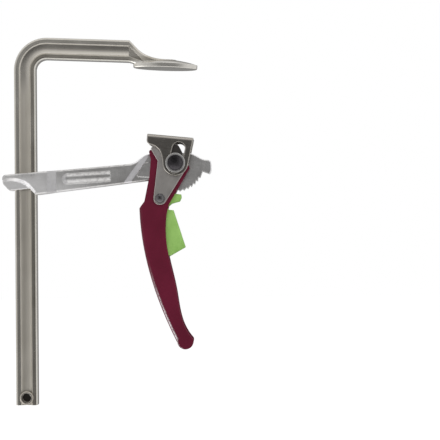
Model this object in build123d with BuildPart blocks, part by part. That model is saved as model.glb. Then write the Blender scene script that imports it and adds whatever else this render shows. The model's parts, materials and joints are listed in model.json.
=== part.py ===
"""Lever clamp: a bent rail with a forged jaw, and a sliding arm that carries a ratchet lever."""

import os
from math import acos, atan2, cos, hypot, pi, radians, sin, sqrt

from build123d import *

os.makedirs("parts", exist_ok=True)

# Rail, bent at the top, with a forged oval jaw pad. The origin is the middle of the pad's face.
throat = 120.0
rail_depth = 20.0
rail_thickness = 10.0
rail_corner = 2.0
rail_drop = 311.0
groove_width = 10.0
groove_depth = 1.5
groove_side = 0.9
groove_side_run = 0.6
groove_round = 1.0
bend_inside = 10.0
jaw_slope = 2.2
jaw_rise = 5.0
neck_length = 46.0
pad_length = 59.5
pad_width = 26.0
pad_edge = 4.0
pad_crown = 8.5
pad_round = 1.2
tongue_end = 12.0
tongue_width = 17.5
tongue_tip = 7.0
tongue_top = 7.3
tongue_bottom = 1.2

# Stop rivet in the lower end of the rail
stop_rivet_up = 7.0
stop_shank = 5.0
stop_head = 6.3
stop_head_height = 1.5
stop_cup = 4.4
stop_cup_depth = 4.0

# Sliding arm. Its heights are counted from the main pivot.
pivot_reach = 9.3
pivot_drop = 88.0
collar_width = 22.0
collar_step = 3.0
step_lean = 0.9
lug_round = 1.2
collar_wall = 10.3
arm_width = 13.0
head_width = 10.0
collar_top = -10.0
ramp_start = 21.0
ramp_run = 8.0
ramp_down = (-48.9, -18.6)
ramp_up = (-33.2, 3.3)
diagonal_run = 5.0
flute_start = 34.5
flute_end = -60.5
flute_height = 10.0
flute_depth = 2.5
flute_drop = 11.6
flute_fall = 2.5
panel_depth = 0.7
panel_round = 1.5
sole_round = 2.0
top_round = 1.5
nose_round = 0.8
collar_end_round = 3.5

# Ratchet sector
tooth_tip_radius = 26.3
tooth_root_radius = 24.5
tooth_pitch = 8.6
tooth_flank = 0.9
first_tooth = 30.9
tooth_count = 12
pawl_tooth = 7
pawl_depth = 1.0

# Main pivot and what is stacked on it, from the arm outwards
pin_radius = 4.5
washer_radius = 8.5
washer_thickness = 1.0
sheet = 2.3
cam_thickness = 2.5
plate_thickness = 2.7
flange_radius = 9.0
flange_thickness = 1.2
bush_radius = 5.6
pin_head_radius = 7.3
pin_head_height = 1.1
pin_dish_depth = 0.8
pin_rim = 0.8
head_round = 0.4

# Lever
kink = (-33.8, -41.6)
handle_tip = (7.2, -171.8)
handle_crest = 10.5
handle_round = 2.0
handle_edge = 0.8
web_bend = 3.0
cam_edge_round = 0.6
cam_rise = 10.5
cam_rest = 20.5
cam_open = 60.0
cam_closed = 24.0
rivet_at = (-14.4, -32.5)
rivet_radius = 3.0
rivet_head_radius = 4.4
rivet_head_height = 1.2
rivet_dish_depth = 0.9
cam_foot = 6.0

# Pressure plate, drawn square to its own face
plate_tilt = 5.6
plate_top = 24.3
plate_left = -28.0
plate_right = 14.5
plate_lip = 19.0
plate_boss = 11.8
boss_end = 8.0
plate_bend = 2.6
plate_edge_round = 0.7
slot_lean = 8.0
slot_up = 13.6
slot_down = 3.3

# Trigger, pawl and spring
engage_angle = 6.0
trigger_hub = 6.4
finger_round = 1.6
lobe_round = 1.0
pawl_width = 5.0
pawl_hub = 4.3
pawl_reach = 3.2
pawl_pin_at = (-7.4, -30.8)
pawl_pin_radius = 1.4
spacer_radius = 5.4
spacer_thickness = 1.2
spring_drop = 60.0
spring_radius = 2.7
spring_wire = 0.8
spring_turns = 5
spring_bore = 3.8
spring_back = -29.5
spring_front = -15.2

# Clearances
running = 0.05
side_play = 0.1
slide_play = 0.3
pawl_play = 0.28

rail_x = -(throat + rail_depth / 2)
pivot = Vector(pivot_reach, 0, -pivot_drop)
pivot_plane = Plane(origin=pivot, x_dir=(1, 0, 0), z_dir=(0, -1, 0))
jaw_along = Vector(cos(radians(jaw_slope)), 0, -sin(radians(jaw_slope)))
jaw_up = Vector(sin(radians(jaw_slope)), 0, cos(radians(jaw_slope)))
jaw_plane = Plane(origin=(0, 0, 0), x_dir=jaw_along, z_dir=(0, -1, 0))
plate_along = Vector(cos(radians(plate_tilt)), 0, -sin(radians(plate_tilt)))
plate_plane = Plane(origin=pivot, x_dir=plate_along, z_dir=(0, -1, 0))

# Distances from the middle plane, worked outwards through the stack
head_half = head_width / 2
washer_in = head_half + running
washer_out = washer_in + washer_thickness
cheek_in = washer_out + side_play
cheek_out = cheek_in + sheet
cam_out = cheek_out + cam_thickness
plate_in = cam_out + slide_play
plate_out = plate_in + plate_thickness
flange_in = plate_out + slide_play
flange_out = flange_in + flange_thickness
trigger_half = cheek_in - slide_play
spacer_out = cheek_in - running
spacer_in = spacer_out - spacer_thickness
hub_half = spacer_in - side_play


def save(builder, name):
    """Label a finished piece and write it out."""
    builder.part.label = name
    export_step(builder.part, f"parts/{name}.step")
    print(name, len(builder.part.solids()), round(builder.part.volume, 1))


def layer(base, inner, outer, front):
    """Plane from which an extrusion of outer - inner, away from its near side, fills one side's layer."""
    return base.offset(inner if front else -outer)


def beside(edges, line):
    """Edges along both sides of the wall behind one line of a front outline."""
    found = ShapeList()
    for edge in edges:
        seen = pivot_plane.to_local_coords(edge.center(CenterOf.GEOMETRY))
        if line.distance_to(Vector(seen.X, seen.Y)) < running and abs((edge % 0.5).Y) < sin(radians(45)):
            found.append(edge)
    return found


def polar(radius, below):
    """Point at an angle below the line that runs right from the pivot."""
    return (radius * cos(radians(below)), -radius * sin(radians(below)))


def outer_rims(builder):
    """The two outermost circles of a pin's heads."""
    circles = builder.edges().filter_by(GeomType.CIRCLE).group_by(SortBy.RADIUS)[-1].sort_by(Axis.Y)
    return ShapeList([circles[0], circles[-1]])


def turned(point, degrees_clockwise):
    """Point turned about the pawl rivet, clockwise in the front view."""
    turn = radians(degrees_clockwise)
    x = point[0] - rivet_at[0]
    z = point[1] - rivet_at[1]
    return (rivet_at[0] + x * cos(turn) + z * sin(turn), rivet_at[1] - x * sin(turn) + z * cos(turn))


# Jaw pad: an oval crowned both ways, flat on the side that meets the work
pad_half = pad_length / 2
crown_drop = pad_crown - pad_edge
long_radius = (pad_half**2 + crown_drop**2) / (2 * crown_drop)
cross_radius = ((pad_width / 2) ** 2 + crown_drop**2) / (2 * crown_drop)
barrel_half = pad_half + pad_edge
barrel_end = pad_crown - long_radius + sqrt(long_radius**2 - barrel_half**2)
barrel_axis = pad_crown - cross_radius
with BuildPart() as jaw_pad:
    with BuildSketch(Plane(origin=(0, 0, 0), x_dir=jaw_along, z_dir=jaw_up)):
        Ellipse(pad_half, pad_width / 2)
    extrude(amount=pad_crown)
    with BuildSketch(jaw_plane):
        with BuildLine():
            ThreePointArc((-barrel_half, barrel_end), (0, pad_crown), (barrel_half, barrel_end))
            Polyline(
                (barrel_half, barrel_end),
                (barrel_half, barrel_axis),
                (-barrel_half, barrel_axis),
                (-barrel_half, barrel_end),
            )
        make_face()
    revolve(axis=Axis(jaw_plane.from_local_coords((0, barrel_axis, 0)), jaw_along), mode=Mode.INTERSECT)
    fillet(jaw_pad.edges().group_by(SortBy.LENGTH)[-1], radius=pad_round)

# Rail: the grooved bar is bent once, then necks down into a tongue on the pad
bar_middle = jaw_rise + rail_depth / 2
neck_start = tongue_end - neck_length
rail_foot = Vector(rail_x, 0, -rail_drop)
rail_elbow = Vector(rail_x, 0, (bar_middle - rail_x * sin(radians(jaw_slope))) / cos(radians(jaw_slope)))
bar_end = jaw_plane.from_local_coords((neck_start, bar_middle, 0))
bar_top = jaw_rise + rail_depth
# Each row: shares of the neck's length, heights below and above, and flare, then its slim width
neck_sections = [
    (0.0, 1.0, 1.0, 0.0, rail_thickness),
    (0.09, 0.75, 0.78, 0.08, rail_thickness),
    (0.20, 0.35, 0.50, 0.35, rail_thickness),
    (0.34, 0.0, 0.26, 0.73, rail_thickness),
    (0.50, 0.0, 0.11, 1.0, rail_thickness),
    (0.75, 0.0, 0.05, 0.76, tongue_tip),
    (1.0, 0.0, 0.0, 0.0, tongue_tip),
]
with BuildPart() as rail_bar:
    with BuildLine() as rail_line:
        FilletPolyline(rail_foot, rail_elbow, bar_end, radius=bend_inside + rail_depth / 2)
    with BuildSketch(Plane(origin=rail_foot, x_dir=(1, 0, 0), z_dir=(0, 0, 1))) as rail_section:
        RectangleRounded(rail_depth, rail_thickness, rail_corner)
        for side in (1, -1):
            floor_edge = side * (rail_thickness / 2 - groove_side)
            floor_half = groove_width / 2 - groove_side_run
            with BuildLine():
                ThreePointArc(
                    (-floor_half, floor_edge),
                    (0, side * (rail_thickness / 2 - groove_depth)),
                    (floor_half, floor_edge),
                )
                Polyline(
                    (floor_half, floor_edge),
                    (groove_width / 2, side * rail_thickness / 2),
                    (-groove_width / 2, side * rail_thickness / 2),
                    (-floor_half, floor_edge),
                )
            make_face(mode=Mode.SUBTRACT)
        groove_reach = groove_width / 2 + running
        fillet(rail_section.vertices().filter_by_position(Axis.X, -groove_reach, groove_reach), groove_round)
    sweep(path=rail_line.line)
    for share, below, above, flare, slim in neck_sections:
        low = tongue_bottom + below * (jaw_rise - tongue_bottom)
        high = tongue_top + above * (bar_top - tongue_top)
        middle = jaw_plane.from_local_coords((neck_start + share * neck_length, (low + high) / 2, 0))
        with BuildSketch(Plane(origin=middle, x_dir=(0, 1, 0), z_dir=jaw_along)):
            RectangleRounded(slim + flare * (tongue_width - slim), high - low, rail_corner)
    loft()
    for front in (True, False):
        with BuildSketch(layer(jaw_plane, rail_thickness / 2 - groove_depth, pad_width, front)):
            Polygon(
                (neck_start, bar_middle - groove_width / 2),
                (neck_start, bar_middle + groove_width / 2),
                (neck_start + 0.32 * neck_length, jaw_rise),
                align=None,
            )
        extrude(amount=pad_width - rail_thickness / 2 + groove_depth, mode=Mode.SUBTRACT)
    add(jaw_pad.part)
    with Locations(Plane(origin=(rail_x, 0, stop_rivet_up - rail_drop), z_dir=(0, -1, 0))):
        Hole(stop_shank + running)
save(rail_bar, "rail_bar")

# Stop rivet: hollow ended, so its rims are rolled over the grooves
rivet_plane = Plane(origin=(rail_x, 0, stop_rivet_up - rail_drop), x_dir=(1, 0, 0), z_dir=(0, -1, 0))
stop_face = rail_thickness / 2 + stop_head_height
with BuildPart() as stop_rivet:
    with BuildSketch(rivet_plane):
        Circle(stop_shank)
    extrude(amount=rail_thickness / 2, both=True)
    for front in (True, False):
        with BuildSketch(layer(rivet_plane, rail_thickness / 2, stop_face, front)):
            Circle(stop_head)
        extrude(amount=stop_head_height)
    fillet(outer_rims(stop_rivet), radius=0.8 * stop_head_height)
    for front in (True, False):
        with BuildSketch(layer(rivet_plane, stop_face - stop_cup_depth, stop_face, front)):
            Circle(stop_cup)
        extrude(amount=stop_cup_depth, mode=Mode.SUBTRACT)
save(stop_rivet, "stop_rivet")

# Sliding arm: outline in the front view, counted from the pivot, with the tooth tips as a loop
collar_x = rail_x - pivot_reach
collar_left = collar_x - rail_depth / 2 - collar_wall
collar_foot = collar_top - 14.4
heel = (collar_x + rail_depth / 2 + slide_play, -28.3)
sector_left = (-19.5, -15.3)
flute_radius = ((flute_height / 2) ** 2 + flute_depth**2) / (2 * flute_depth)
teeth = []
for number in range(tooth_count):
    tip_angle = first_tooth + number * tooth_pitch
    teeth.append(polar(tooth_tip_radius, tip_angle))
    teeth.append(polar(tooth_root_radius, tip_angle + tooth_flank))
with BuildPart() as sliding_arm:
    with BuildSketch(pivot_plane.offset(-collar_width / 2)):
        with BuildLine():
            top_edge = Line((collar_left, collar_top), (-43.3, -0.5))
            shoulder = Spline(
                top_edge @ 1, (-35.3, 2.7), (-28.3, 7.4), (-21.0, 8.6), tangents=[(1, 0.08), (1, 0.03)]
            )
            head_top = Line(shoulder @ 1, (13.0, 9.6))
            brow = Spline(head_top @ 1, (18.8, 7.0), (24.0, 4.1), (29.0, 3.0), tangents=[(1, -0.35), (1, 0)])
            nose = Spline(brow @ 1, (33.0, -3.0), (31.4, -10.0), tangents=[(1, 0), (-0.8, -1)])
            Polyline(nose @ 1, (24.8, -7.6), *teeth, sector_left)
            sole = Line(sector_left, heel)
            lug_edge = Line((collar_x + 4.8, collar_foot + 1.7), (collar_x - 14.3, collar_foot))
            Line(heel, lug_edge @ 0)
            Polyline(lug_edge @ 1, (collar_left, collar_foot + 6.5), top_edge @ 0)
        make_face()
    extrude(amount=collar_width)
    fillet(
        sliding_arm.edges().filter_by(Axis.Y).group_by(Axis.X)[0],
        radius=collar_end_round,
    )
    for front in (True, False):
        side = -1 if front else 1
        with BuildSketch(Plane(origin=pivot, x_dir=(1, 0, 0), z_dir=(0, 0, 1))):
            Polygon(
                (collar_x + ramp_start, side * collar_width / 2),
                (collar_x + ramp_start + ramp_run, side * arm_width / 2),
                (2 * tooth_tip_radius, side * arm_width / 2),
                (2 * tooth_tip_radius, side * collar_width),
                (collar_x + ramp_start, side * collar_width),
                align=None,
            )
        extrude(amount=2 * tooth_tip_radius, both=True, mode=Mode.SUBTRACT)
        ramp_line = Vector(ramp_up[0] - ramp_down[0], ramp_up[1] - ramp_down[1]).normalized()
        ramp_across = Vector(ramp_line.Y, 0, -ramp_line.X)
        with BuildSketch(
            Plane(
                origin=pivot_plane.from_local_coords((*ramp_down, 0)),
                x_dir=ramp_across,
                z_dir=(ramp_line.X, 0, ramp_line.Y),
            )
        ):
            Polygon(
                (0, -side * arm_width / 2),
                (diagonal_run, -side * head_half),
                (4 * tooth_tip_radius, -side * head_half),
                (4 * tooth_tip_radius, -side * collar_width),
                (0, -side * collar_width),
                align=None,
            )
        extrude(amount=4 * tooth_tip_radius, both=True, mode=Mode.SUBTRACT)
        flute_first = pivot_plane.from_local_coords((collar_x + flute_start, -flute_drop - flute_fall, 0))
        flute_last = pivot_plane.from_local_coords((flute_end, -flute_drop, 0))
        flute_along = (flute_last - flute_first).normalized()
        flute_axis = Vector(0, side * (arm_width / 2 + flute_radius - flute_depth), 0)
        flute_length = (flute_last - flute_first).length
        flute_up = flute_along.cross(Vector(0, 1, 0))
        with BuildSketch(Plane(origin=flute_first + flute_axis, x_dir=flute_along, z_dir=flute_up)):
            with BuildLine():
                RadiusArc(
                    (flute_height / 2 - flute_radius, 0), (flute_height / 2, flute_radius), flute_radius
                )
                Polyline(
                    (flute_height / 2, flute_radius),
                    (flute_length, flute_radius),
                    (flute_length, 0),
                    (flute_height / 2 - flute_radius, 0),
                )
            make_face()
        revolve(axis=Axis(flute_first + flute_axis, flute_along), mode=Mode.SUBTRACT)
        with BuildSketch(layer(pivot_plane, head_half - panel_depth, collar_width, front)) as panel:
            Polygon((-37.0, -12.0), (-29.8, 0.0), (-14.3, 4.0), (-14.3, -13.5), align=None)
            fillet(panel.vertices(), panel_round)
        extrude(amount=collar_width - head_half + panel_depth, mode=Mode.SUBTRACT)
    with BuildSketch(pivot_plane):
        Circle(pin_radius + running)
    extrude(amount=collar_width, both=True, mode=Mode.SUBTRACT)
    fillet(beside(sliding_arm.edges(), sole), radius=sole_round)
    for side in (1, -1):
        with BuildSketch(pivot_plane.offset(-side * (collar_width / 2 - collar_step))):
            with BuildLine():
                step = Spline(
                    (collar_left - 3, collar_top - 8.0),
                    (collar_x - 5.4, collar_top - 6.7),
                    (collar_x + 1.0, collar_top - 10.0),
                    (collar_x + 4.6, collar_top - 13.4),
                    (heel[0] - 2.0, heel[1]),
                )
                Polyline(step @ 1, (step @ 1 - (0, collar_width)), (step @ 0 - (0, collar_width)), step @ 0)
            make_face()
        extrude(amount=2 * collar_step, dir=(step_lean, side, step_lean), mode=Mode.SUBTRACT)
    fillet(beside(sliding_arm.edges(), lug_edge), radius=lug_round)
    fillet(beside(sliding_arm.edges(), top_edge), radius=top_round)
    fillet(beside(sliding_arm.edges(), brow), radius=nose_round)
    with BuildSketch(Plane(origin=(rail_x, 0, -pivot_drop), x_dir=(1, 0, 0), z_dir=(0, 0, 1))):
        Rectangle(rail_depth + 2 * slide_play, rail_thickness + 2 * slide_play)
    extrude(amount=2 * tooth_tip_radius, both=True, mode=Mode.SUBTRACT)
save(sliding_arm, "sliding_arm")

# Main pivot pin: its two heads are dished
head_in = flange_out + running
head_out = head_in + pin_head_height
with BuildPart() as main_pivot_pin:
    with BuildSketch(pivot_plane):
        Circle(pin_radius)
    extrude(amount=head_in, both=True)
    for front in (True, False):
        with BuildSketch(layer(pivot_plane, head_in, head_out, front)):
            Circle(pin_head_radius)
        extrude(amount=pin_head_height)
    fillet(outer_rims(main_pivot_pin), radius=head_round)
    dish_rim = pin_head_radius - pin_rim
    dish_radius = (dish_rim**2 + pin_dish_depth**2) / (2 * pin_dish_depth)
    dish_out = head_out + dish_radius - pin_dish_depth
    with Locations(pivot + Vector(0, dish_out, 0), pivot - Vector(0, dish_out, 0)):
        Sphere(dish_radius, mode=Mode.SUBTRACT)
save(main_pivot_pin, "main_pivot_pin")

# Thrust washers between the arm's head and the handle's cheeks
for front in (True, False):
    with BuildPart() as pivot_washer:
        with BuildSketch(layer(pivot_plane, washer_in, washer_out, front)):
            Circle(washer_radius)
            Circle(pin_radius + running, mode=Mode.SUBTRACT)
        extrude(amount=washer_thickness)
    save(pivot_washer, "pivot_washer_front" if front else "pivot_washer_rear")


def grip(across, down):
    """Point of the grip, in shares of the way from the kink to the tip."""
    return (kink[0] + across * (handle_tip[0] - kink[0]), kink[1] + down * (handle_tip[1] - kink[1]))


# Lever handle: a channel whose web faces the rail, with the web left out above the kink
front_points = [kink, grip(0.08, 0.256), grip(0.359, 0.6), grip(0.84, 0.96)]
with BuildPart() as lever_handle:
    with BuildSketch(pivot_plane.offset(-cheek_out)):
        with BuildLine():
            front_edge = Spline(*front_points)
            tip_edge = ThreePointArc(front_edge @ 1, grip(1.0, 1.0), grip(1.2, 0.93))
            back_edge = Spline(
                tip_edge @ 1, grip(0.98, 0.815), grip(0.83, 0.585), grip(0.62, 0.273), grip(0.634, 0.011)
            )
            FilletPolyline(
                back_edge @ 1,
                (-6.2, -37.7),
                (13.0, -4.7),
                (9.2, 5.0),
                (0.0, handle_crest),
                (-24.9, 12.6),
                (-22.8, 3.5),
                (-24.1, -11.5),
                (-29.0, -35.1),
                kink,
                radius=handle_round,
            )
        make_face()
    extrude(amount=2 * cheek_out)
    fillet(beside(lever_handle.edges(), front_edge), radius=web_bend)
    fillet(beside(lever_handle.edges(), back_edge), radius=handle_edge)
    with BuildSketch(pivot_plane):
        with BuildLine():
            inner_edge = Spline(*[(x + sheet, z) for x, z in front_points])
            Polyline(
                inner_edge @ 1,
                (2 * pad_width, front_points[-1][1]),
                (2 * pad_width, 2 * pad_width),
                (2 * kink[0], 2 * pad_width),
                (2 * kink[0], kink[1]),
                inner_edge @ 0,
            )
        make_face()
    extrude(amount=cheek_in, both=True, mode=Mode.SUBTRACT)
    with BuildSketch(pivot_plane):
        Circle(pin_radius + running)
        with Locations(rivet_at):
            Circle(rivet_radius + running)
    extrude(amount=2 * cheek_out, both=True, mode=Mode.SUBTRACT)
save(lever_handle, "lever_handle")


def cam_point(opened):
    """Point of the cam that carries the pressure plate when the lever has swung open so far, in degrees."""
    facing = radians(90 - plate_tilt - opened)
    reach = cam_rest - cam_rise * radians(opened)
    return (reach * cos(facing) - cam_rise * sin(facing), reach * sin(facing) + cam_rise * cos(facing))


def foot_point(angle):
    """Point of the rounded foot of a cam plate, round the pawl rivet."""
    return (rivet_at[0] + cam_foot * cos(radians(angle)), rivet_at[1] + cam_foot * sin(radians(angle)))


# Cam plates: the upper edge rises evenly with the lever's swing
cam_steps = 6
cam_step = (cam_open + cam_closed) / cam_steps
cam_curve = [cam_point(number * cam_step - cam_closed) for number in range(cam_steps + 1)]
for front in (True, False):
    with BuildPart() as cam_plate:
        with BuildSketch(layer(pivot_plane, cheek_out, cam_out, front)):
            with BuildLine():
                cam_edge = Spline(*cam_curve)
                Polyline(cam_edge @ 1, (12.1, -1.8), foot_point(-32.5))
                ThreePointArc(foot_point(-32.5), foot_point(-110), foot_point(172.5))
                Polyline(foot_point(172.5), (-16.3, 2.0), (-22.7, 13.2), cam_edge @ 0)
            make_face()
            Circle(pin_radius + running, mode=Mode.SUBTRACT)
            with Locations(rivet_at):
                Circle(rivet_radius + running, mode=Mode.SUBTRACT)
        extrude(amount=cam_thickness)
        outer_face = cam_plate.faces().sort_by(Axis.Y)[0 if front else -1]
        fillet(outer_face.outer_wire().edges(), radius=cam_edge_round)
    save(cam_plate, "cam_plate_front" if front else "cam_plate_rear")

# Pawl rivet: holds the cam plates to the handle and is the trigger's axle
with BuildPart() as pawl_rivet:
    with BuildSketch(pivot_plane):
        with Locations(rivet_at):
            Circle(rivet_radius)
    extrude(amount=cam_out, both=True)
    for front in (True, False):
        with BuildSketch(layer(pivot_plane, cam_out, cam_out + rivet_head_height, front)):
            with Locations(rivet_at):
                Circle(rivet_head_radius)
        extrude(amount=rivet_head_height)
    fillet(outer_rims(pawl_rivet), radius=head_round)
    rivet_rim = rivet_head_radius - pin_rim
    rivet_dish = (rivet_rim**2 + rivet_dish_depth**2) / (2 * rivet_dish_depth)
    rivet_out = Vector(0, cam_out + rivet_head_height + rivet_dish - rivet_dish_depth, 0)
    rivet_middle = pivot_plane.from_local_coords((*rivet_at, 0))
    with Locations(rivet_middle + rivet_out, rivet_middle - rivet_out):
        Sphere(rivet_dish, mode=Mode.SUBTRACT)
save(pawl_rivet, "pawl_rivet")

# Slot bushes: flanged, they turn on the pin and slide in the pressure plate's slots
for front in (True, False):
    with BuildPart() as slot_bush:
        with BuildSketch(layer(pivot_plane, cam_out + side_play, flange_out, front)):
            Circle(bush_radius)
        extrude(amount=flange_out - cam_out - side_play)
        with BuildSketch(layer(pivot_plane, flange_in, flange_out, front)):
            Circle(flange_radius)
        extrude(amount=flange_thickness)
        fillet(outer_rims(slot_bush)[0 if front else -1], radius=head_round)
        with BuildSketch(pivot_plane):
            Circle(pin_radius + running)
        extrude(amount=2 * flange_out, both=True, mode=Mode.SUBTRACT)
    save(slot_bush, "slot_bush_front" if front else "slot_bush_rear")

# Pressure plate: a bent saddle with cheeks slotted for the bushes. Its sides run smoothly into the boss.
boss_start = atan2(plate_top, plate_right) - acos(plate_boss / hypot(plate_right, plate_top))
with BuildPart() as pressure_plate:
    with BuildSketch(plate_plane.offset(-plate_out)):
        with BuildLine():
            plate_edge = Line((plate_left, plate_top), (plate_right, plate_top))
            plate_side = Line(plate_edge @ 1, (plate_boss * cos(boss_start), plate_boss * sin(boss_start)))
            boss_left = (-plate_boss * cos(radians(boss_end)), -plate_boss * sin(radians(boss_end)))
            boss_edge = ThreePointArc(plate_side @ 1, (0, -plate_boss), boss_left)
            wave = Spline(
                boss_edge @ 1,
                (-12.9, 4.0),
                (-16.2, 10.6),
                (-23.0, 14.4),
                (plate_left, plate_lip),
                tangents=[boss_edge % 1, (0, 1)],
            )
            Line(wave @ 1, plate_edge @ 0)
        make_face()
    extrude(amount=2 * plate_out)
    bend_lines = pressure_plate.edges().filter_by(Axis((0, 0, 0), plate_along))
    fillet(bend_lines.group_by(Axis.Z)[-1], radius=plate_bend)
    with BuildSketch(plate_plane):
        with Locations((0, plate_top - plate_thickness)):
            Rectangle(4 * plate_top, 4 * plate_top, align=(Align.CENTER, Align.MAX))
    extrude(amount=plate_in, both=True, mode=Mode.SUBTRACT)
    with BuildSketch(plate_plane):
        slot_middle = (slot_up - slot_down) / 2
        with Locations((slot_middle * sin(radians(slot_lean)), slot_middle * cos(radians(slot_lean)))):
            SlotCenterToCenter(slot_up + slot_down, 2 * (bush_radius + side_play), rotation=90 - slot_lean)
    extrude(amount=2 * plate_out, both=True, mode=Mode.SUBTRACT)
    for cheek in pressure_plate.faces().filter_by(Axis.Y).sort_by(Axis.Y)[:: 3]:
        bend_line = cheek.edges().sort_by(Axis.Z)[-1]
        fillet([edge for edge in cheek.edges() if edge != bend_line], radius=plate_edge_round)
save(pressure_plate, "pressure_plate")

# Pawl: drawn with its tooth in a gap of the sector, then turned clear of the tips
flank_angle = first_tooth + pawl_tooth * tooth_pitch + tooth_flank + pawl_play / tooth_root_radius * 180 / pi
next_tip = first_tooth + (pawl_tooth + 1) * tooth_pitch
with BuildPart() as pawl:
    with BuildSketch(pivot_plane.offset(-pawl_width / 2)) as pawl_outline:
        Polygon(
            turned(polar(tooth_tip_radius - pawl_depth, flank_angle), engage_angle),
            turned(polar(tooth_tip_radius + 2 * pawl_play, next_tip), engage_angle),
            (rivet_at[0], rivet_at[1] + pawl_hub),
            (rivet_at[0], rivet_at[1] - pawl_hub),
            turned(polar(tooth_tip_radius + pawl_reach, flank_angle), engage_angle),
            align=None,
        )
        with Locations(rivet_at):
            Circle(pawl_hub)
            Circle(rivet_radius + running, mode=Mode.SUBTRACT)
        with Locations(pawl_pin_at):
            Circle(pawl_pin_radius + running, mode=Mode.SUBTRACT)
    extrude(amount=pawl_width)
save(pawl, "pawl")

# Pawl pin: fixes the pawl in the trigger
with BuildPart() as pawl_pin:
    with BuildSketch(pivot_plane):
        with Locations(pawl_pin_at):
            Circle(pawl_pin_radius)
    extrude(amount=trigger_half, both=True)
save(pawl_pin, "pawl_pin")

# Release trigger: an upper lobe round the pawl, and a finger wedge behind the handle
lobe = [(0.9, -26.8), (4.2, -26.9), (4.9, -29.8), (3.6, -33.5), (-3.4, -36.2)]
finger = [(-2.6, -43.4), (8.5, -77.9), (-5.7, -86.0), (-14.0, -84.0)]
with BuildPart() as release_trigger:
    with BuildSketch(pivot_plane.offset(-trigger_half)):
        with BuildLine():
            lobe_edge = Polyline(*[turned(point, engage_angle) for point in lobe])
            Polyline(lobe_edge @ 1, (-8.4, -41.0), (-6.8, -43.0), finger[0])
            finger_edge = Polyline(*finger)
            Polyline(
                finger_edge @ 1,
                (-19.5, -66.0),
                (rivet_at[0] - trigger_hub, rivet_at[1]),
                (rivet_at[0], rivet_at[1] + trigger_hub),
                lobe_edge @ 0,
            )
        make_face()
        with Locations(rivet_at):
            Circle(trigger_hub)
    extrude(amount=2 * trigger_half)
    fillet(beside(release_trigger.edges(), finger_edge), radius=finger_round)
    fillet(beside(release_trigger.edges(), lobe_edge), radius=lobe_round)
    for front in (True, False):
        with BuildSketch(layer(pivot_plane, hub_half, trigger_half + running, front)):
            with Locations(rivet_at):
                Circle(spacer_radius + slide_play)
        extrude(amount=trigger_half + running - hub_half, mode=Mode.SUBTRACT)
    with BuildSketch(pivot_plane):
        add(pawl_outline.sketch_local)
        with Locations(rivet_at):
            Circle(pawl_hub)
        with Locations(pawl_pin_at):
            Circle(pawl_pin_radius + 2 * running)
        offset(amount=running, mode=Mode.REPLACE)
    extrude(amount=pawl_width / 2 + running, both=True, mode=Mode.SUBTRACT)
    with BuildSketch(pivot_plane):
        with Locations(rivet_at):
            Circle(rivet_radius + running)
        with Locations(pawl_pin_at):
            Circle(pawl_pin_radius + running)
    extrude(amount=2 * trigger_half, both=True, mode=Mode.SUBTRACT)
    spring_seat = pivot_plane.from_local_coords((spring_front + spring_wire, -spring_drop, 0))
    with BuildSketch(Plane(origin=spring_seat, z_dir=(-1, 0, 0))):
        Circle(spring_bore)
    extrude(amount=2 * spring_bore * spring_turns, mode=Mode.SUBTRACT)
save(release_trigger, "release_trigger")

# Trigger spacers: thrust washers on the rivet
for front in (True, False):
    with BuildPart() as trigger_spacer:
        with BuildSketch(layer(pivot_plane, spacer_in, spacer_out, front)):
            with Locations(rivet_at):
                Circle(spacer_radius)
                Circle(rivet_radius + running, mode=Mode.SUBTRACT)
        extrude(amount=spacer_thickness)
    save(trigger_spacer, "trigger_spacer_front" if front else "trigger_spacer_rear")


def coil_point(turns):
    """Point of the spring's middle line and its direction, after so many turns from the web."""
    angle = 2 * pi * turns
    rise = (spring_front - spring_back) / spring_turns
    base = pivot_plane.from_local_coords((spring_back + rise * turns, -spring_drop, 0))
    point = base + Vector(0, spring_radius * cos(angle), spring_radius * sin(angle))
    heading = Vector(rise, -2 * pi * spring_radius * sin(angle), 2 * pi * spring_radius * cos(angle))
    return point, heading.normalized()


def biarc(start, start_heading, end, end_heading):
    """Two tangent arcs from one point and heading to another."""
    span = end - start
    headings = start_heading + end_heading
    spread = 2 * (1 - start_heading.dot(end_heading))
    along = span.dot(headings)
    reach = (sqrt(along**2 + spread * span.dot(span)) - along) / spread
    before = start + start_heading * reach
    after = end - end_heading * reach
    meet = (before + after) * 0.5
    TangentArc(start, meet, tangent=start_heading)
    TangentArc(meet, end, tangent=(after - before).normalized())


# Trigger spring: one coil of wire between the handle's web and a bore in the trigger
with BuildPart() as trigger_spring:
    with BuildLine() as coil_line:
        for quarter in range(4 * spring_turns):
            biarc(*coil_point(quarter / 4), *coil_point((quarter + 1) / 4))
    coil_start, coil_heading = coil_point(0)
    with BuildSketch(Plane(origin=coil_start, z_dir=coil_heading)):
        Circle(spring_wire / 2)
    sweep(path=coil_line.line)
save(trigger_spring, "trigger_spring")
print("spring gap", round((spring_front - spring_back) / spring_turns - spring_wire, 2))
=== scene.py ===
# %% [markdown]
# # A lever clamp in steel, paint and plastic
# The clamp is a bent rail with a forged jaw, and an arm that slides on it and carries a ratchet
# lever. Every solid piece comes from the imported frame, already at its real size, in metres. This
# lesson gives each one the finish that it has on the bench, then lights and photographs the whole.

# %% Load the frame
import json
from math import cos, pi, radians, sin

import bpy
from mathutils import Euler, Matrix, Vector


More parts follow.
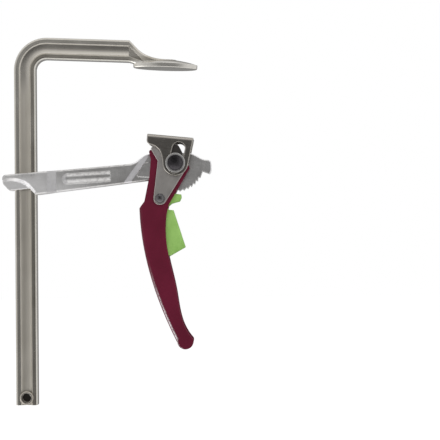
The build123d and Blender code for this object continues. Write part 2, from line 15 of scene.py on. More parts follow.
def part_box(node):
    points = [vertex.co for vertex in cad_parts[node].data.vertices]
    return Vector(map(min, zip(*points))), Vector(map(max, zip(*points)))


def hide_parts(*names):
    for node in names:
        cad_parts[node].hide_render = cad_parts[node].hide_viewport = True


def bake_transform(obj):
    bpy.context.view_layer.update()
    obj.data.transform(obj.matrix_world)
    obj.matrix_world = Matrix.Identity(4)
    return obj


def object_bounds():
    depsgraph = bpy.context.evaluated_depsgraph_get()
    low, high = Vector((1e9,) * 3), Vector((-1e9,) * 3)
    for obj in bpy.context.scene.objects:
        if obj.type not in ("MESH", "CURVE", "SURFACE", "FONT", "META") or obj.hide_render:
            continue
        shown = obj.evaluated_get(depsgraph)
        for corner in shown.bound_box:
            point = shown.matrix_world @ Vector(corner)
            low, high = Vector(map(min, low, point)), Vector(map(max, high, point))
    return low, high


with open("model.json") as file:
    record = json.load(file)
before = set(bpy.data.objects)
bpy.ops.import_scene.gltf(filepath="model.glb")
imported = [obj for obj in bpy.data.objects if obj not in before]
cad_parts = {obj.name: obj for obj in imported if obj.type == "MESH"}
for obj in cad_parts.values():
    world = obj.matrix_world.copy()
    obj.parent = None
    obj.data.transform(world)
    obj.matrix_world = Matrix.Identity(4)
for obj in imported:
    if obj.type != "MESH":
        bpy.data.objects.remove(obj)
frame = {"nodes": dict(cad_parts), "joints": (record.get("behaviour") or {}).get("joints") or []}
nodes = frame["nodes"]
cad_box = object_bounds()
print("pieces in the frame:", len(nodes))

# %% [markdown]
# ## Where the camera stands
# The picture is taken straight on, from about an arm's length. A far camera with a long lens keeps
# the rail's sides nearly parallel, and still lets the eye see a little of the jaw pad's underside,
# as it does in real life. The rail leans to the left by less than half a degree, so the camera is
# rolled by as much.

# %% Camera
MM = 0.001
SENSOR_WIDTH = 36
VIEW_WIDTH = 409.2 * MM
VIEW_DISTANCE = 900 * MM
VIEW_CENTRE = Vector((49.9 * MM, 0, -140.8 * MM))
VIEW_ROLL = radians(-0.41)

camera_data = bpy.data.cameras.new("camera")
camera_data.sensor_width = SENSOR_WIDTH
camera_data.lens = SENSOR_WIDTH * VIEW_DISTANCE / VIEW_WIDTH
camera = bpy.data.objects.new("camera", camera_data)
facing = Euler((radians(90), 0, 0)).to_matrix() @ Matrix.Rotation(VIEW_ROLL, 3, "Z")
eye = VIEW_CENTRE - Vector((0, VIEW_DISTANCE, 0))
camera.matrix_world = Matrix.Translation(eye) @ facing.to_4x4()
bpy.context.collection.objects.link(camera)
bpy.context.scene.camera = camera
bpy.context.scene.view_settings.view_transform = "Standard"
print("lens", round(camera_data.lens, 1), "mm")

# %% [markdown]
# ## Shader maths as plain expressions
# A finish is a handful of patterns that are added and multiplied. Wiring each sum by hand hides
# the idea, so this small class wraps a node's output: Python's operators then add the Math nodes,
# and one method makes any other node from its type, its settings and its sockets.


# %% A socket that Python can calculate with
class Field:
    """One output socket of a node tree."""

    def __init__(self, tree, socket=None):
        self.tree = tree
        self.socket = socket

    def node(self, kind, settings=None, sockets=None, output=0):
        """Add a node: settings first, then the values or links of its sockets."""
        made = self.tree.nodes.new(kind)
        for name, value in (settings or {}).items():
            setattr(made, name, value)
        for key, value in (sockets or {}).items():
            if isinstance(value, Field):
                self.tree.links.new(value.socket, made.inputs[key])
            else:
                made.inputs[key].default_value = value
        return Field(self.tree, made.outputs[output] if made.outputs else None)

    def math(self, operation, *values):
        return self.node("ShaderNodeMath", {"operation": operation}, dict(enumerate(values)))

    def __add__(self, other):
        return self.math("ADD", self, other)

    def __radd__(self, other):
        return self.math("ADD", other, self)

    def __sub__(self, other):
        return self.math("SUBTRACT", self, other)

    def __rsub__(self, other):
        return self.math("SUBTRACT", other, self)

    def __mul__(self, other):
        return self.math("MULTIPLY", self, other)

    def __rmul__(self, other):
        return self.math("MULTIPLY", other, self)

    def __neg__(self):
        return self.math("MULTIPLY", self, -1.0)

    def __abs__(self):
        return self.math("ABSOLUTE", self)

    def between(self, low, high):
        """Ease from 0 at low to 1 at high."""
        settings = {"interpolation_type": "SMOOTHSTEP"}
        sockets = {"Value": self, "From Min": low, "From Max": high, "To Min": 0.0, "To Max": 1.0}
        return self.node("ShaderNodeMapRange", settings, sockets)

    def blend(self, first, second):
        """A colour that goes from first to second as this value goes from 0 to 1."""
        # A Mix node has sockets for each kind of value, and these numbers are its colour sockets.
        sockets = {0: self, 6: first, 7: second}
        return self.node("ShaderNodeMix", {"data_type": "RGBA"}, sockets, output=2)

    def split(self):
        """The three numbers of a vector."""
        parts = self.node("ShaderNodeSeparateXYZ", None, {0: self}).socket.node
        return [Field(self.tree, socket) for socket in parts.outputs]


print("shader maths ready")

# %% [markdown]
# ## Patterns measured in millimetres
# A frame piece sits at the origin, so its Object coordinates are the clamp's own measures. Turned
# into millimetres, they let a pattern be written as it would be read off the real thing: grains of
# half a millimetre, turning marks a third of a millimetre apart. Colours are given as they look on
# a screen and turned into the linear values that a shader needs.


# %% Colours, places and grains
def screen_colour(red, green, blue):
    """Linear colour from the 0 to 255 values of a screen colour."""
    linear = []
    for value in (red, green, blue):
        share = value / 255
        linear.append(share / 12.92 if share <= 0.04045 else ((share + 0.055) / 1.055) ** 2.4)
    return (*linear, 1.0)


def place(field):
    """Where a point of the surface is, in millimetres."""
    spot = field.node("ShaderNodeTexCoord", output="Object")
    return [part * (1 / MM) for part in spot.split()]


def grain(field, spot, size, detail=3.0):
    """Cloudy pattern from 0 to 1, with grains of this size in millimetres, or one size per direction."""
    lengths = size if isinstance(size, tuple) else (size, size, size)
    scaled = {number: part * (1 / length) for number, (part, length) in enumerate(zip(spot, lengths))}
    vector = field.node("ShaderNodeCombineXYZ", None, scaled)
    return field.node("ShaderNodeTexNoise", None, {"Vector": vector, "Scale": 1.0, "Detail": detail})


def reach(first, second):
    """Distance made up of two legs at a right angle."""
    return first.math("SQRT", first * first + second * second)


def highest(first, *others):
    """The largest of several values."""
    for other in others:
        first = first.math("MAXIMUM", first, other)
    return first


print("mid grey on a screen is", round(screen_colour(128, 128, 128)[0], 3), "in a shader")

# %% [markdown]
# ## Edges that have been handled
# Corners of a tool are rubbed bright, or lose their paint. The Bevel node bends the normal near a
# corner, so comparing it with the true normal finds the corners without any painting by hand. A
# patchy pattern can then keep the wear from being as even as a drawn line.

# %% Wear along edges, and relief
BEVEL_SAMPLES = 6
EDGE_TURN = (0.01, 0.14)


def rounded_normal(field, radius):
    """Normal of the surface, with its corners rounded by this many millimetres."""
    return field.node("ShaderNodeBevel", {"samples": BEVEL_SAMPLES}, {"Radius": radius * MM})


def worn_edge(field, radius):
    """0 on flat ground, up to 1 on an edge, within this many millimetres."""
    flat = field.node("ShaderNodeNewGeometry", output="Normal")
    sockets = {0: rounded_normal(field, radius), 1: flat}
    agree = field.node("ShaderNodeVectorMath", {"operation": "DOT_PRODUCT"}, sockets, output="Value")
    return (1.0 - agree).between(*EDGE_TURN)


def relief(field, height, depth, rounding=0.5):
    """Normal of a surface with rounded corners, whose pattern stands this many millimetres high."""
    sockets = {
        "Strength": 1.0,
        "Distance": depth * MM,
        "Height": height,
        "Normal": rounded_normal(field, rounding),
    }
    return field.node("ShaderNodeBump", None, sockets)


print("edges are found with", BEVEL_SAMPLES, "samples")

# %% [markdown]
# ## Opening and closing a finish
# Every finish starts as an empty material and ends in the same main shader, so the cells that
# follow hold only what sets one piece apart from another. A finish is then given to pieces by name.


# %% The start and the end of a finish
def start_material(name):
    """An empty material and a field to build it with."""
    material = bpy.data.materials.new(name)
    material.use_nodes = True
    material.node_tree.nodes.clear()
    return material, Field(material.node_tree)


def end_material(field, sockets):
    """Close a material with the main shader."""
    shader = field.node("ShaderNodeBsdfPrincipled", None, sockets)
    field.node("ShaderNodeOutputMaterial", None, {"Surface": shader})


def wear(material, *names):
    """Give a finish to named pieces."""
    for name in names:
        slots = nodes[name].data.materials
        slots.clear()
        slots.append(material)
    print(material.name, "on", ", ".join(names))


print("ready to dress", len(nodes), "pieces")

# %% [markdown]
# ## Rail: drawn steel
# The rail is rolled and drawn, so its marks run along it, round the bend and out to the jaw. A
# stretched pattern in X or Z alone would cut across one of the two legs. The distance from the
# bend's centre works for both: below the bend it only counts sideways, past the bend only upwards,
# and in the corner it is a radius. Streaks that depend on it follow the bar, and so do the zones of
# its section: flanges with rub marks, a painted highlight that lightens the outer flange and runs
# bright along the inner corner, and a groove that is pale beside the jaw and duller below the bend.

# %% Rail measures
RAIL_DEPTH = 20.0
BEND_INSIDE = 10.0
JAW_SLOPE = radians(2.2)
JAW_RISE = 5.0
GROOVE_EDGE = (4.4, 5.4)
INNER_CORNER_HIGHLIGHT = (8.5, 9.4)
DULL_BELOW = (0.0, 30.0)
bend_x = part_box("rail_bar")[0][0] / MM + RAIL_DEPTH + BEND_INSIDE
rail_middle = BEND_INSIDE + RAIL_DEPTH / 2
print("bend centre at X", round(bend_x, 1), "mm")


# %% Rail colours and run
RAIL_DARK = screen_colour(172, 166, 154)
RAIL_LIGHT = screen_colour(203, 198, 188)
GROOVE_PALE = screen_colour(216, 211, 202)
# Rub marks and edge wear take this colour, and so do the painted highlights on the inner corner and the
# outer flange.
RAIL_RUB_AND_HIGHLIGHT = screen_colour(232, 230, 225)
PIT_BROWN = screen_colour(120, 108, 92)


def rail_run(spot):
    """Distance across the rail from its bend's centre, and distance along it, in millimetres."""
    x, _, z = spot
    left = highest(bend_x - x, 0.0)
    above = x * sin(JAW_SLOPE) + z * cos(JAW_SLOPE) + (BEND_INSIDE - JAW_RISE)
    return reach(left, highest(above, 0.0)), z - x


print("the rail's middle runs", rail_middle, "mm from the bend's centre")

# %% Rail finish
rail_steel, field = start_material("rail_steel")
spot = place(field)
across, along = rail_run(spot)
drawn = (across, spot[1], along)
fine = grain(field, drawn, (0.16, 0.16, 60.0))
broad = grain(field, drawn, (1.5, 1.5, 140.0))
cloud = grain(field, spot, (14.0, 14.0, 30.0), 4.0)
rubbed = grain(field, drawn, (0.5, 0.5, 24.0), 2.0).between(0.62, 0.72)
pits = grain(field, spot, (0.7, 0.7, 1.1), 2.0).between(0.70, 0.78)
edge = worn_edge(field, 0.7)
off_middle = across - rail_middle
flange = abs(off_middle).between(*GROOVE_EDGE)
outer_flange_light = off_middle.between(*GROOVE_EDGE)
corner = (-off_middle).between(*INNER_CORNER_HIGHLIGHT)
groove = 1.0 - flange
dull = groove * (-spot[2]).between(*DULL_BELOW)
tone = fine * 0.35 + broad * 0.4 + cloud * 0.4
rolled = tone.between(0.35, 0.8).blend(RAIL_DARK, RAIL_LIGHT)
grooved = (groove * 0.8 - dull * 0.5).blend(rolled, GROOVE_PALE)
# Painted highlight: the inner corner and, more faintly, the outer flange are lightened as painted light,
# on top of the real rub marks and edge wear.
bright = rubbed * flange * 0.4 + edge * 0.3 + corner * 0.6 + outer_flange_light * 0.3
shiny = bright.blend(grooved, RAIL_RUB_AND_HIGHLIGHT)
end_material(
    field,
    {
        "Base Color": (pits * 0.5).blend(shiny, PIT_BROWN),
        "Metallic": 1.0,
        "Roughness": 0.17 + fine * 0.06 + cloud * 0.1 + pits * 0.2 + dull * 0.26,
        "Normal": relief(field, fine * 0.08 + broad * 0.6 - pits * 0.3, 0.03),
    },
)
wear(rail_steel, "rail_bar")

# %% [markdown]
# ## Arm: a zinc-plated forging
# The arm is forged, tumbled and plated, so it has no direction: a slightly lumpy skin from the die,
# a fine satin grain from the plating, and cloudy patches of brighter and duller zinc. Towards the
# foot of its collar the zinc turns whiter and more matt, except on the collar's face, which is kept
# greyer as painted shade. The slanted facets carry painted shade beside the collar and a painted
# highlight beside the head, and handled corners are bright. Facets are told by the piece's own
# normal, so they stay in place when the arm moves.

# %% Arm measures and colours
ARM_MIDDLE = -106.0
FADE_LEAN = 3.0
COLLAR_FADE = (44.0, 124.0)
COLLAR_START = (116.0, 124.0)
STEP_HEIGHT = -104.0
STEP_FADE = 6.0
HEAD_START = (-60.0, -50.0)
ZINC_GREY = screen_colour(208, 206, 204)
ZINC_LIGHT = screen_colour(232, 231, 229)
ZINC_DULL = screen_colour(176, 174, 175)
ZINC_WHITE = screen_colour(243, 242, 242)
ZINC_RUBBED = screen_colour(240, 239, 237)
# Painted shade on the slanted facets beside the collar, and a painted highlight on them beside the head.
FACET_SHADE = screen_colour(192, 191, 192)
FACET_HIGHLIGHT = screen_colour(252, 250, 253)
print("collar's face starts", COLLAR_START[0], "mm left of the jaw's middle")

# %% Arm finish
arm_zinc, field = start_material("arm_zinc")
spot = place(field)
skin = grain(field, spot, 2.6, 2.0)
satin = grain(field, spot, 0.28, 2.0)
cloud = grain(field, spot, (17.0, 17.0, 12.0), 4.0)
bloom = grain(field, spot, 2.4, 5.0).between(0.42, 0.7)
edge = worn_edge(field, 0.8)
zinc = (cloud * 0.7 + satin * 0.3).between(0.3, 0.7).blend(ZINC_GREY, ZINC_LIGHT)
dulled = (bloom * 0.55).blend(zinc, ZINC_DULL)
below = (ARM_MIDDLE - spot[2]) * FADE_LEAN
collar_side = (below - spot[0]).between(*COLLAR_FADE)
# Painted shade: the collar's face above the step is kept greyer.
collar_face_shade = (-spot[0]).between(*COLLAR_START) * (spot[2] - STEP_HEIGHT).between(0.0, STEP_FADE)
whitened_and_shaded = (collar_side * 0.75 - collar_face_shade * 0.6).blend(dulled, ZINC_WHITE)
tilt, outwards, _ = field.node("ShaderNodeTexCoord", output="Normal").split()
# Painted light on the slanted facets: painted shade beside the collar, a painted highlight beside the
# head.
slanted_facet_light = abs(tilt).between(0.1, 0.22) * abs(outwards).between(0.4, 0.6)
facet_highlight_and_shade = spot[0].between(*HEAD_START).blend(FACET_SHADE, FACET_HIGHLIGHT)
flank_painted_light = (slanted_facet_light * 0.85).blend(whitened_and_shaded, facet_highlight_and_shade)
end_material(
    field,
    {
        "Base Color": (edge * 0.6).blend(flank_painted_light, ZINC_RUBBED),
        "Metallic": 1.0,
        "Roughness": 0.28 + bloom * 0.12 + satin * 0.08 + collar_side * 0.16 - edge * 0.06,
        "Normal": relief(field, skin * 0.5 + satin * 0.08, 0.06, rounding=1.1),
    },
)
wear(arm_zinc, "sliding_arm")

# %% [markdown]
# ## Side plates: blanked sheet
# The two plates beside the handle are punched from cold-rolled sheet and tumbled. Rolling leaves
# short marks along the sheet, tumbling leaves a fine even grain, and the punched edge catches the
# light. The lever hangs slanted, and the sheet's direction is laid along it. Just above the pivot,
# where the plate shows through the pressure plate's slot, a nearly black patch is painted shade.


# %% Side plate measures and colours
def axis_of(node):
    """X and Z of the middle of a piece, in millimetres."""
    low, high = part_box(node)
    return ((low[0] + high[0]) / 2 / MM, (low[2] + high[2]) / 2 / MM)


pivot_axis = axis_of("main_pivot_pin")
PLATE_LEAN = radians(66)
# Where a nearly black patch is painted as the shade seen through the pressure plate's slot.
SLOT_SHADE_SPOT = (pivot_axis[0] + 1.0, pivot_axis[1] + 11.0)
SLOT_SHADE_REACH = (5.0, 8.0)
SHEET_GREY = screen_colour(176, 172, 168)
SHEET_LIGHT = screen_colour(201, 197, 193)
SHEET_EDGE = screen_colour(235, 233, 230)
SLOT_SHADE_BLACK = screen_colour(60, 56, 54)
print("pivot axis", [round(value, 1) for value in pivot_axis])

# %% Side plate finish
cam_steel, field = start_material("cam_steel")
spot = place(field)
lengthwise = spot[0] * cos(PLATE_LEAN) + spot[2] * sin(PLATE_LEAN)
sideways = spot[2] * cos(PLATE_LEAN) - spot[0] * sin(PLATE_LEAN)
rolled = grain(field, (sideways, spot[1], lengthwise), (0.2, 0.2, 5.0))
tumbled = grain(field, spot, 0.3, 2.0)
cloud = grain(field, spot, 9.0)
edge = worn_edge(field, 0.7)
tone = rolled * 0.4 + tumbled * 0.3 + cloud * 0.4
sheet_steel = tone.between(0.35, 0.75).blend(SHEET_GREY, SHEET_LIGHT)
punched = (edge * 0.75).blend(sheet_steel, SHEET_EDGE)
# Painted shade: a nearly black patch where the plate shows through the slot above the pivot.
from_slot_shade = reach(spot[0] - SLOT_SHADE_SPOT[0], spot[2] - SLOT_SHADE_SPOT[1])
slot_shade = 1.0 - from_slot_shade.between(*SLOT_SHADE_REACH)
end_material(
    field,
    {
        "Base Color": (slot_shade * 0.9).blend(punched, SLOT_SHADE_BLACK),
        "Metallic": 1.0,
        "Roughness": 0.34 + tumbled * 0.1 + cloud * 0.08 - edge * 0.06,
        "Normal": relief(field, rolled * 0.5 + tumbled * 0.5, 0.008),
    },
)
wear(cam_steel, "cam_plate_front", "cam_plate_rear")

# %% [markdown]
# ## Pressure plate: burnished steel
# The bent plate is burnished until it is nearly a mirror. That makes its cheeks look dark, because
# they mirror the dim front of the room, while its bend mirrors the bright ceiling. Faint polishing
# lines run along its face, and a few smudges make the mirror believable.

# %% Pressure plate finish
PLATE_TILT = radians(5.6)
BURNISHED_DARK = screen_colour(160, 154, 146)
BURNISHED_LIGHT = screen_colour(186, 182, 176)
BURNISHED_EDGE = screen_colour(236, 234, 231)
plate_chrome, field = start_material("plate_chrome")
spot = place(field)
lengthwise = spot[0] * cos(PLATE_TILT) - spot[2] * sin(PLATE_TILT)
upwards = spot[0] * sin(PLATE_TILT) + spot[2] * cos(PLATE_TILT)
polish = grain(field, (lengthwise, spot[1], upwards), (12.0, 0.3, 0.14))
smudge = grain(field, spot, (5.0, 5.0, 6.0), 4.0).between(0.45, 0.75)
edge = worn_edge(field, 0.7)
burnished = polish.between(0.3, 0.7).blend(BURNISHED_DARK, BURNISHED_LIGHT)
end_material(
    field,
    {
        "Base Color": (edge * 0.7).blend(burnished, BURNISHED_EDGE),
        "Metallic": 1.0,
        "Roughness": 0.12 + polish * 0.06 + smudge * 0.08,
        "Normal": relief(field, polish, 0.002, rounding=1.5),
    },
)
wear(plate_chrome, "pressure_plate")

# %% [markdown]
# ## Turned pieces
# Pins, bushes, rivets and washers come off a lathe, so their marks are rings about their own axis.
# The distance from the axis, sent through a sine, gives the rings. One recipe serves them all: the
# pivot is blackened, the bushes are bright, and the rivets are in between. The stop rivet has a
# hollow end, and its inside is painted nearly black as painted shade.

# %% Turned finish
TURNED_EDGE = screen_colour(222, 219, 215)
# Nearly black colour painted as shade inside a hollow end.
HOLLOW_SHADE = screen_colour(34, 31, 29)
HOLLOW_SHADE_EDGE = (-0.5, 0.01)


def turned(name, axis, dark, light, roughness, ring, hollow=0.0):
    """Lathe-turned metal: rings this far apart about an axis at X and Z, and painted shade in a hollow.
    """
    material, field = start_material(name)
    spot = place(field)
    radius = reach(spot[0] - axis[0], spot[2] - axis[1])
    rings = radius.math("SINE", radius * (2 * pi / ring)) * 0.5 + 0.5
    patch = grain(field, spot, 1.6, 4.0)
    speck = grain(field, spot, 0.25, 2.0)
    edge = worn_edge(field, 0.4)
    # Painted shade: the inside of a hollow end is darkened towards nearly black.
    hollow_shade = 1.0 - radius.between(hollow + HOLLOW_SHADE_EDGE[0], hollow + HOLLOW_SHADE_EDGE[1])
    tone = (rings * 0.25 + patch * 0.6 + speck * 0.25).between(0.3, 0.85).blend(dark, light)
    rubbed = (edge * 0.55).blend(tone, TURNED_EDGE)
    end_material(
        field,
        {
            "Base Color": (hollow_shade * 0.92).blend(rubbed, HOLLOW_SHADE),
            "Metallic": 1.0,
            "Roughness": roughness + patch * 0.14 - edge * 0.05 + hollow_shade * 0.3,
            "Normal": relief(field, rings * 0.8 + speck * 0.2, 0.01),
        },
    )
    return material


rivet_axis = axis_of("pawl_rivet")
stop_axis = axis_of("stop_rivet")
print("rivet axes", [round(value, 1) for value in rivet_axis + stop_axis])

# %% Turned pieces dressed
blackened = turned(
    "pivot_black",
    pivot_axis,
    dark=screen_colour(76, 73, 76),
    light=screen_colour(106, 103, 106),
    roughness=0.15,
    ring=0.45,
)
wear(blackened, "main_pivot_pin")
bushing = turned(
    "bush_bright",
    pivot_axis,
    dark=screen_colour(190, 188, 186),
    light=screen_colour(220, 219, 217),
    roughness=0.3,
    ring=0.3,
)
wear(bushing, "slot_bush_front", "slot_bush_rear", "pivot_washer_front", "pivot_washer_rear")
pawl_head = turned(
    "rivet_grey",
    rivet_axis,
    dark=screen_colour(98, 96, 98),
    light=screen_colour(134, 132, 133),
    roughness=0.2,
    ring=0.4,
)
wear(pawl_head, "pawl_rivet", "trigger_spacer_front", "trigger_spacer_rear")
stop_head = turned(
    "stop_steel",
    stop_axis,
    dark=screen_colour(172, 164, 152),
    light=screen_colour(206, 201, 193),
    roughness=0.26,
    ring=0.5,
    hollow=4.4,
)
wear(stop_head, "stop_rivet")

# %% [markdown]
# ## Hidden steel
# The pawl, its pin and the spring are hardened and oiled, so they are darker, with a bluish patch
# here and there where the heat has coloured them.

# %% Hidden steel finish
HEAT_BLUE = screen_colour(118, 116, 122)
OIL_BROWN = screen_colour(158, 152, 142)
HARD_EDGE = screen_colour(205, 202, 198)
oiled_steel, field = start_material("oiled_steel")
spot = place(field)
heat = grain(field, spot, 3.0)
scuff = grain(field, spot, (0.3, 0.3, 1.2), 2.0)
edge = worn_edge(field, 0.3)
hardened = heat.between(0.35, 0.7).blend(HEAT_BLUE, OIL_BROWN)
end_material(
    field,
    {
        "Base Color": (edge * 0.6).blend(hardened, HARD_EDGE),
        "Metallic": 1.0,
        "Roughness": 0.28 + scuff * 0.16,
        "Normal": relief(field, scuff, 0.01),
    },
)
wear(oiled_steel, "pawl", "pawl_pin")

# %% [markdown]
# ## Trigger spring: a coil that works
# The spring stands between the handle's web and a bore in the trigger. One end stays with the
# handle, the other moves with the trigger, so a stiff coil would cut into the plastic when the
# trigger is squeezed. The wire is wound here once more, with the flatter end coils that a bought
# spring has.

# %% Spring measures
SPRING_WIRE = 0.8 * MM
SPRING_TURNS = 6.25
POINTS_PER_TURN = 16
END_FLATNESS = 0.45
spring_low, spring_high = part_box("trigger_spring")
coil_back = spring_low[0] + SPRING_WIRE / 2
coil_front = spring_high[0] - SPRING_WIRE / 2
coil_height = (spring_low[2] + spring_high[2]) / 2
coil_radius = (spring_high[2] - spring_low[2] - SPRING_WIRE) / 2
coil_steps = int(SPRING_TURNS * POINTS_PER_TURN)
coil_length = coil_front - coil_back
print("spring wire of", SPRING_TURNS, "turns,", round(coil_length / MM, 1), "mm long")

# %% Spring wire
wire_data = bpy.data.curves.new("spring_wire", "CURVE")
wire_data.dimensions = "3D"
wire_data.bevel_depth = SPRING_WIRE / 2
wire_data.bevel_resolution = 2
wire_data.use_fill_caps = True
coil = wire_data.splines.new("NURBS")
coil.points.add(coil_steps)
for step, point in enumerate(coil.points):
    share = step / coil_steps
    turn = 2 * pi * SPRING_TURNS * share
    along_coil = share - END_FLATNESS * sin(2 * pi * share) / (2 * pi)
    across_coil = (coil_radius * cos(turn), coil_height + coil_radius * sin(turn))
    point.co = (coil_back + along_coil * coil_length, *across_coil, 1)
coil.order_u = 4
coil.use_endpoint_u = True
coil.resolution_u = 2
print("spring wire of", len(coil.points), "points")

# %% Spring piece
wire = bpy.data.objects.new("spring_wire", wire_data)
bpy.context.collection.objects.link(wire)
wound = wire.evaluated_get(bpy.context.evaluated_depsgraph_get())
spring_mesh = bpy.data.meshes.new_from_object(wound)
bpy.data.objects.remove(wire)
spring_coil = bpy.data.objects.new("trigger_spring_coil", spring_mesh)
bpy.context.collection.objects.link(spring_coil)
spring_mesh.polygons.foreach_set("use_smooth", [True] * len(spring_mesh.polygons))
spring_mesh.materials.clear()
spring_mesh.materials.append(oiled_steel)
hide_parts("trigger_spring")
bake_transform(spring_coil)
print("spring of", len(spring_mesh.polygons), "faces")

# %% [markdown]
# ## Handle: powder coat
# The lever is painted by powder that melts and flows, which leaves the dimples of an orange peel a
# millimetre or two apart. The coat thins over sharp edges, so they look a little lighter, and a few
# chips there show the grey steel underneath. Low down, a pale line is painted along the edge on the
# rail's side as a painted highlight. Which edge that is comes from the rounded normal, turned into
# the handle's own frame, so that the painted highlight stays on the handle when the lever swings.

# %% Handle measures and colours
PALM_HIGHLIGHT_REACH = (175.0, 240.0)
HIGHLIGHT_ROUNDING = 2.0
MAROON = screen_colour(92, 8, 37)
MAROON_LIGHT = screen_colour(107, 14, 46)
MAROON_THIN = screen_colour(138, 52, 76)
# Pale colour of a painted highlight along the handle's rail-side edge.
PAINTED_EDGE_HIGHLIGHT = screen_colour(246, 236, 238)
CHIP_GREY = screen_colour(140, 134, 130)


def own_frame(field, normal):
    """A normal in the piece's own frame, which turns with the piece."""
    settings = {"vector_type": "NORMAL", "convert_from": "WORLD", "convert_to": "OBJECT"}
    return field.node("ShaderNodeVectorTransform", settings, {0: normal})


# The pale line that starts this far down is a painted highlight.
print("paint is worn from", PALM_HIGHLIGHT_REACH[0], "mm below the jaw downwards")

# %% Handle finish
powder_coat, field = start_material("maroon_powder_coat")
spot = place(field)
peel = grain(field, spot, 1.3, 1.5)
dust = grain(field, spot, 0.22, 2.0)
cloud = grain(field, spot, (22.0, 22.0, 30.0))
patchy = grain(field, spot, 1.1, 4.0)
edge = worn_edge(field, 0.6)
chip = edge * patchy.between(0.66, 0.72)
turning = own_frame(field, rounded_normal(field, HIGHLIGHT_ROUNDING))
rightwards, outwards, _ = turning.split()
# Painted highlight: a pale line along the rail-side fold, low down on the handle.
fold = abs(outwards).between(0.71, 0.76) - abs(outwards).between(0.93, 0.99)
rail_side = (-rightwards).between(0.08, 0.25)
low_down = (-spot[2]).between(*PALM_HIGHLIGHT_REACH)
palm_highlight = fold * rail_side * low_down * patchy.between(0.3, 0.5)
paint = (cloud * 0.6 + dust * 0.4).between(0.3, 0.7).blend(MAROON, MAROON_LIGHT)
thinned = (edge * 0.5).blend(paint, MAROON_THIN)
highlit_paint = palm_highlight.blend(thinned, PAINTED_EDGE_HIGHLIGHT)
end_material(
    field,
    {
        "Base Color": chip.blend(highlit_paint, CHIP_GREY),
        "Metallic": chip * 0.9,
        "Roughness": 0.36 + dust * 0.1 + cloud * 0.06,
        "Specular IOR Level": 0.3,
        "Normal": relief(field, peel + dust * 0.12, 0.05),
    },
)
wear(powder_coat, "lever_handle")

# %% [markdown]
# ## Trigger: moulded plastic
# The green trigger is moulded in two halves of a die. The die is spark-eroded, which gives a fine
# matt texture, and the halves leave a thin line round the middle. The colour is a little uneven
# along the flow, and rubbed corners shine.

# %% Trigger finish
PARTING_HALF = 0.12
GREEN = screen_colour(138, 186, 90)
GREEN_LIGHT = screen_colour(158, 203, 110)
GREEN_RUBBED = screen_colour(170, 208, 126)
moulded_green, field = start_material("moulded_green")
spot = place(field)
spark = grain(field, spot, 0.35)
flow = grain(field, spot, (8.0, 5.0, 16.0))
parting = 1.0 - abs(spot[1]).between(PARTING_HALF * 0.5, PARTING_HALF)
edge = worn_edge(field, 0.8)
green = (flow * 0.7 + spark * 0.3).between(0.3, 0.7).blend(GREEN, GREEN_LIGHT)
end_material(
    field,
    {
        "Base Color": (edge * 0.3 + parting * 0.2).blend(green, GREEN_RUBBED),
        "Roughness": 0.5 + spark * 0.14 - edge * 0.12,
        "Specular IOR Level": 0.4,
        "Normal": relief(field, spark * 0.5 + parting * 1.2, 0.05),
    },
)
wear(moulded_green, "release_trigger")

# %% [markdown]
# ## Studio
# The clamp stands in a white tent. Metal has no colour of its own to show, only what it mirrors. A
# photographer's tent is bright above, below and on both sides, a little less so on the left, and it
# is dark in front, round the lens. The dark front turns polished faces dark and leaves a light line
# on rounded edges. A dimmer rear keeps the back of the clamp from washing out, and a white card low
# on the left lights the metal that is turned to it. Painted and moulded pieces get an even light
# from all round, and the eye itself sees plain white.

# %% Tent
WHITE = (1, 1, 1, 1)
TENT_FILL = 0.45
TENT_FRONT = 0.09
TENT_LEFT = 0.65
TENT_SIDE = 0.85
TENT_REAR = 0.3
TENT_CARD = 2.0
CARD_LEFT = 0.75
CARD_LOW = 0.65
CARD_EDGE = (0.86, 0.97)
world = bpy.data.worlds.new("tent")
bpy.context.scene.world = world
world.use_nodes = True
world.node_tree.nodes.clear()
sky = Field(world.node_tree)
sideways, inwards, upwards = sky.node("ShaderNodeTexCoord", output="Generated").split()
ceiling = (upwards * 0.9 + sideways * 0.05).between(0.0, 0.55)
far_left = (-sideways).between(0.6, 0.95) * (TENT_SIDE - TENT_LEFT)
left_wall = (-sideways).between(0.05, 0.6) * TENT_LEFT + far_left
right_wall = sideways.between(0.16, 0.7) * TENT_SIDE
backdrop = inwards.between(-0.3, 0.3)
ground = (-upwards).between(0.4, 0.75)
rear = inwards.between(0.3, 0.85) * (1.0 - TENT_REAR)
lit = highest(ceiling, left_wall, right_wall, ground, backdrop)
room = (TENT_FRONT + lit * (1.0 - TENT_FRONT)) * (1.0 - rear)
card = (-(sideways * CARD_LEFT + upwards * CARD_LOW)).between(*CARD_EDGE)
mirrored = room + card * TENT_CARD
print("tent sewn")


# %% Tent hung
def shown(field):
    """1 for what the eye sees, straight on or through something clear."""
    seen = field.node("ShaderNodeLightPath", output="Is Camera Ray")
    through = field.node("ShaderNodeLightPath", output="Is Transmission Ray")
    return highest(seen, through)


glossy = sky.node("ShaderNodeLightPath", output="Is Glossy Ray")
plain = shown(sky)
level = plain + (1.0 - plain) * (glossy * mirrored + (1.0 - glossy) * TENT_FILL)
background = sky.node("ShaderNodeBackground", None, {"Color": WHITE, "Strength": level})
sky.node("ShaderNodeOutputWorld", None, {"Surface": background})
print("tent hung, with a fill of", TENT_FILL)


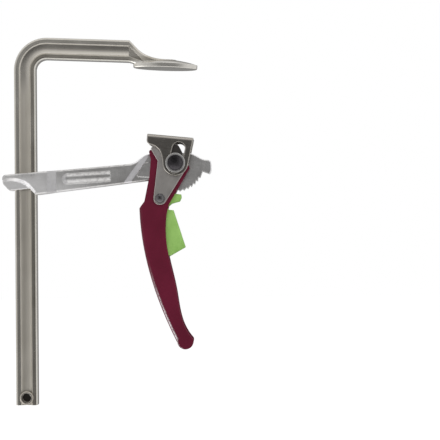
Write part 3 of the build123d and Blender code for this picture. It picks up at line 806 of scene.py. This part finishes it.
# %% Lamps
def lamp(name, spot, aim, size, watts):
    """A soft square lamp aimed at a point."""
    data = bpy.data.lights.new(name, "AREA")
    data.size = size
    data.energy = watts
    light = bpy.data.objects.new(name, data)
    light.visible_glossy = False
    light.location = spot
    light.rotation_euler = (Vector(aim) - Vector(spot)).to_track_quat("-Z", "Y").to_euler()
    bpy.context.collection.objects.link(light)
    print(name, watts, "W")


clamp_middle = (cad_box[0] + cad_box[1]) / 2
lamp("key_lamp", spot=(0.7, -0.9, 0.8), aim=clamp_middle, size=1.4, watts=10)
lamp("fill_lamp", spot=(-1.0, -0.8, 0.1), aim=clamp_middle, size=1.2, watts=3)

# %% [markdown]
# ## Floor
# A pale sheet lies below the clamp and takes its soft shadow. The arm slides down so far that its
# lever reaches well below the rail's end, so the sheet lies under the lowest place that the lever
# can reach. To the eye it is mostly the white of the tent, so that its far edge can't be seen, and
# metal mirrors the tent's own ground in its place.

# %% Floor sheet
FLOOR_HALF = 3.0
FLOOR_GAP = 10 * MM
SQUARE = ((-1, -1), (1, -1), (1, 1), (-1, 1))
slide = next(joint for joint in frame["joints"] if joint["name"] == "arm_slide")
lowest_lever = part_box("lever_handle")[0][2] + slide["range_m"][0]
floor_height = min(cad_box[0][2], lowest_lever) - FLOOR_GAP
corners = [(x * FLOOR_HALF, y * FLOOR_HALF, floor_height) for x, y in SQUARE]
floor_mesh = bpy.data.meshes.new("floor")
floor_mesh.from_pydata(corners, [], [(0, 1, 2, 3)])
floor = bpy.data.objects.new("floor", floor_mesh)
floor.visible_glossy = False
bpy.context.collection.objects.link(floor)
print("floor at", round(floor_height / MM, 1), "mm")

# %% Floor paper
FLOOR_PALE = (0.86, 0.86, 0.86, 1)
FLOOR_GLOW = 0.62
floor_paper, field = start_material("floor_paper")
paper = field.node("ShaderNodeBsdfDiffuse", None, {"Color": FLOOR_PALE})
glow = field.node("ShaderNodeEmission", None, {"Color": WHITE, "Strength": FLOOR_GLOW})
lit_paper = field.node("ShaderNodeAddShader", None, {0: paper, 1: glow})
both = field.node("ShaderNodeMixShader", None, {0: shown(field), 1: paper, 2: lit_paper})
field.node("ShaderNodeOutputMaterial", None, {"Surface": both})
floor_mesh.materials.append(floor_paper)
print(floor_paper.name, "on", floor.name)
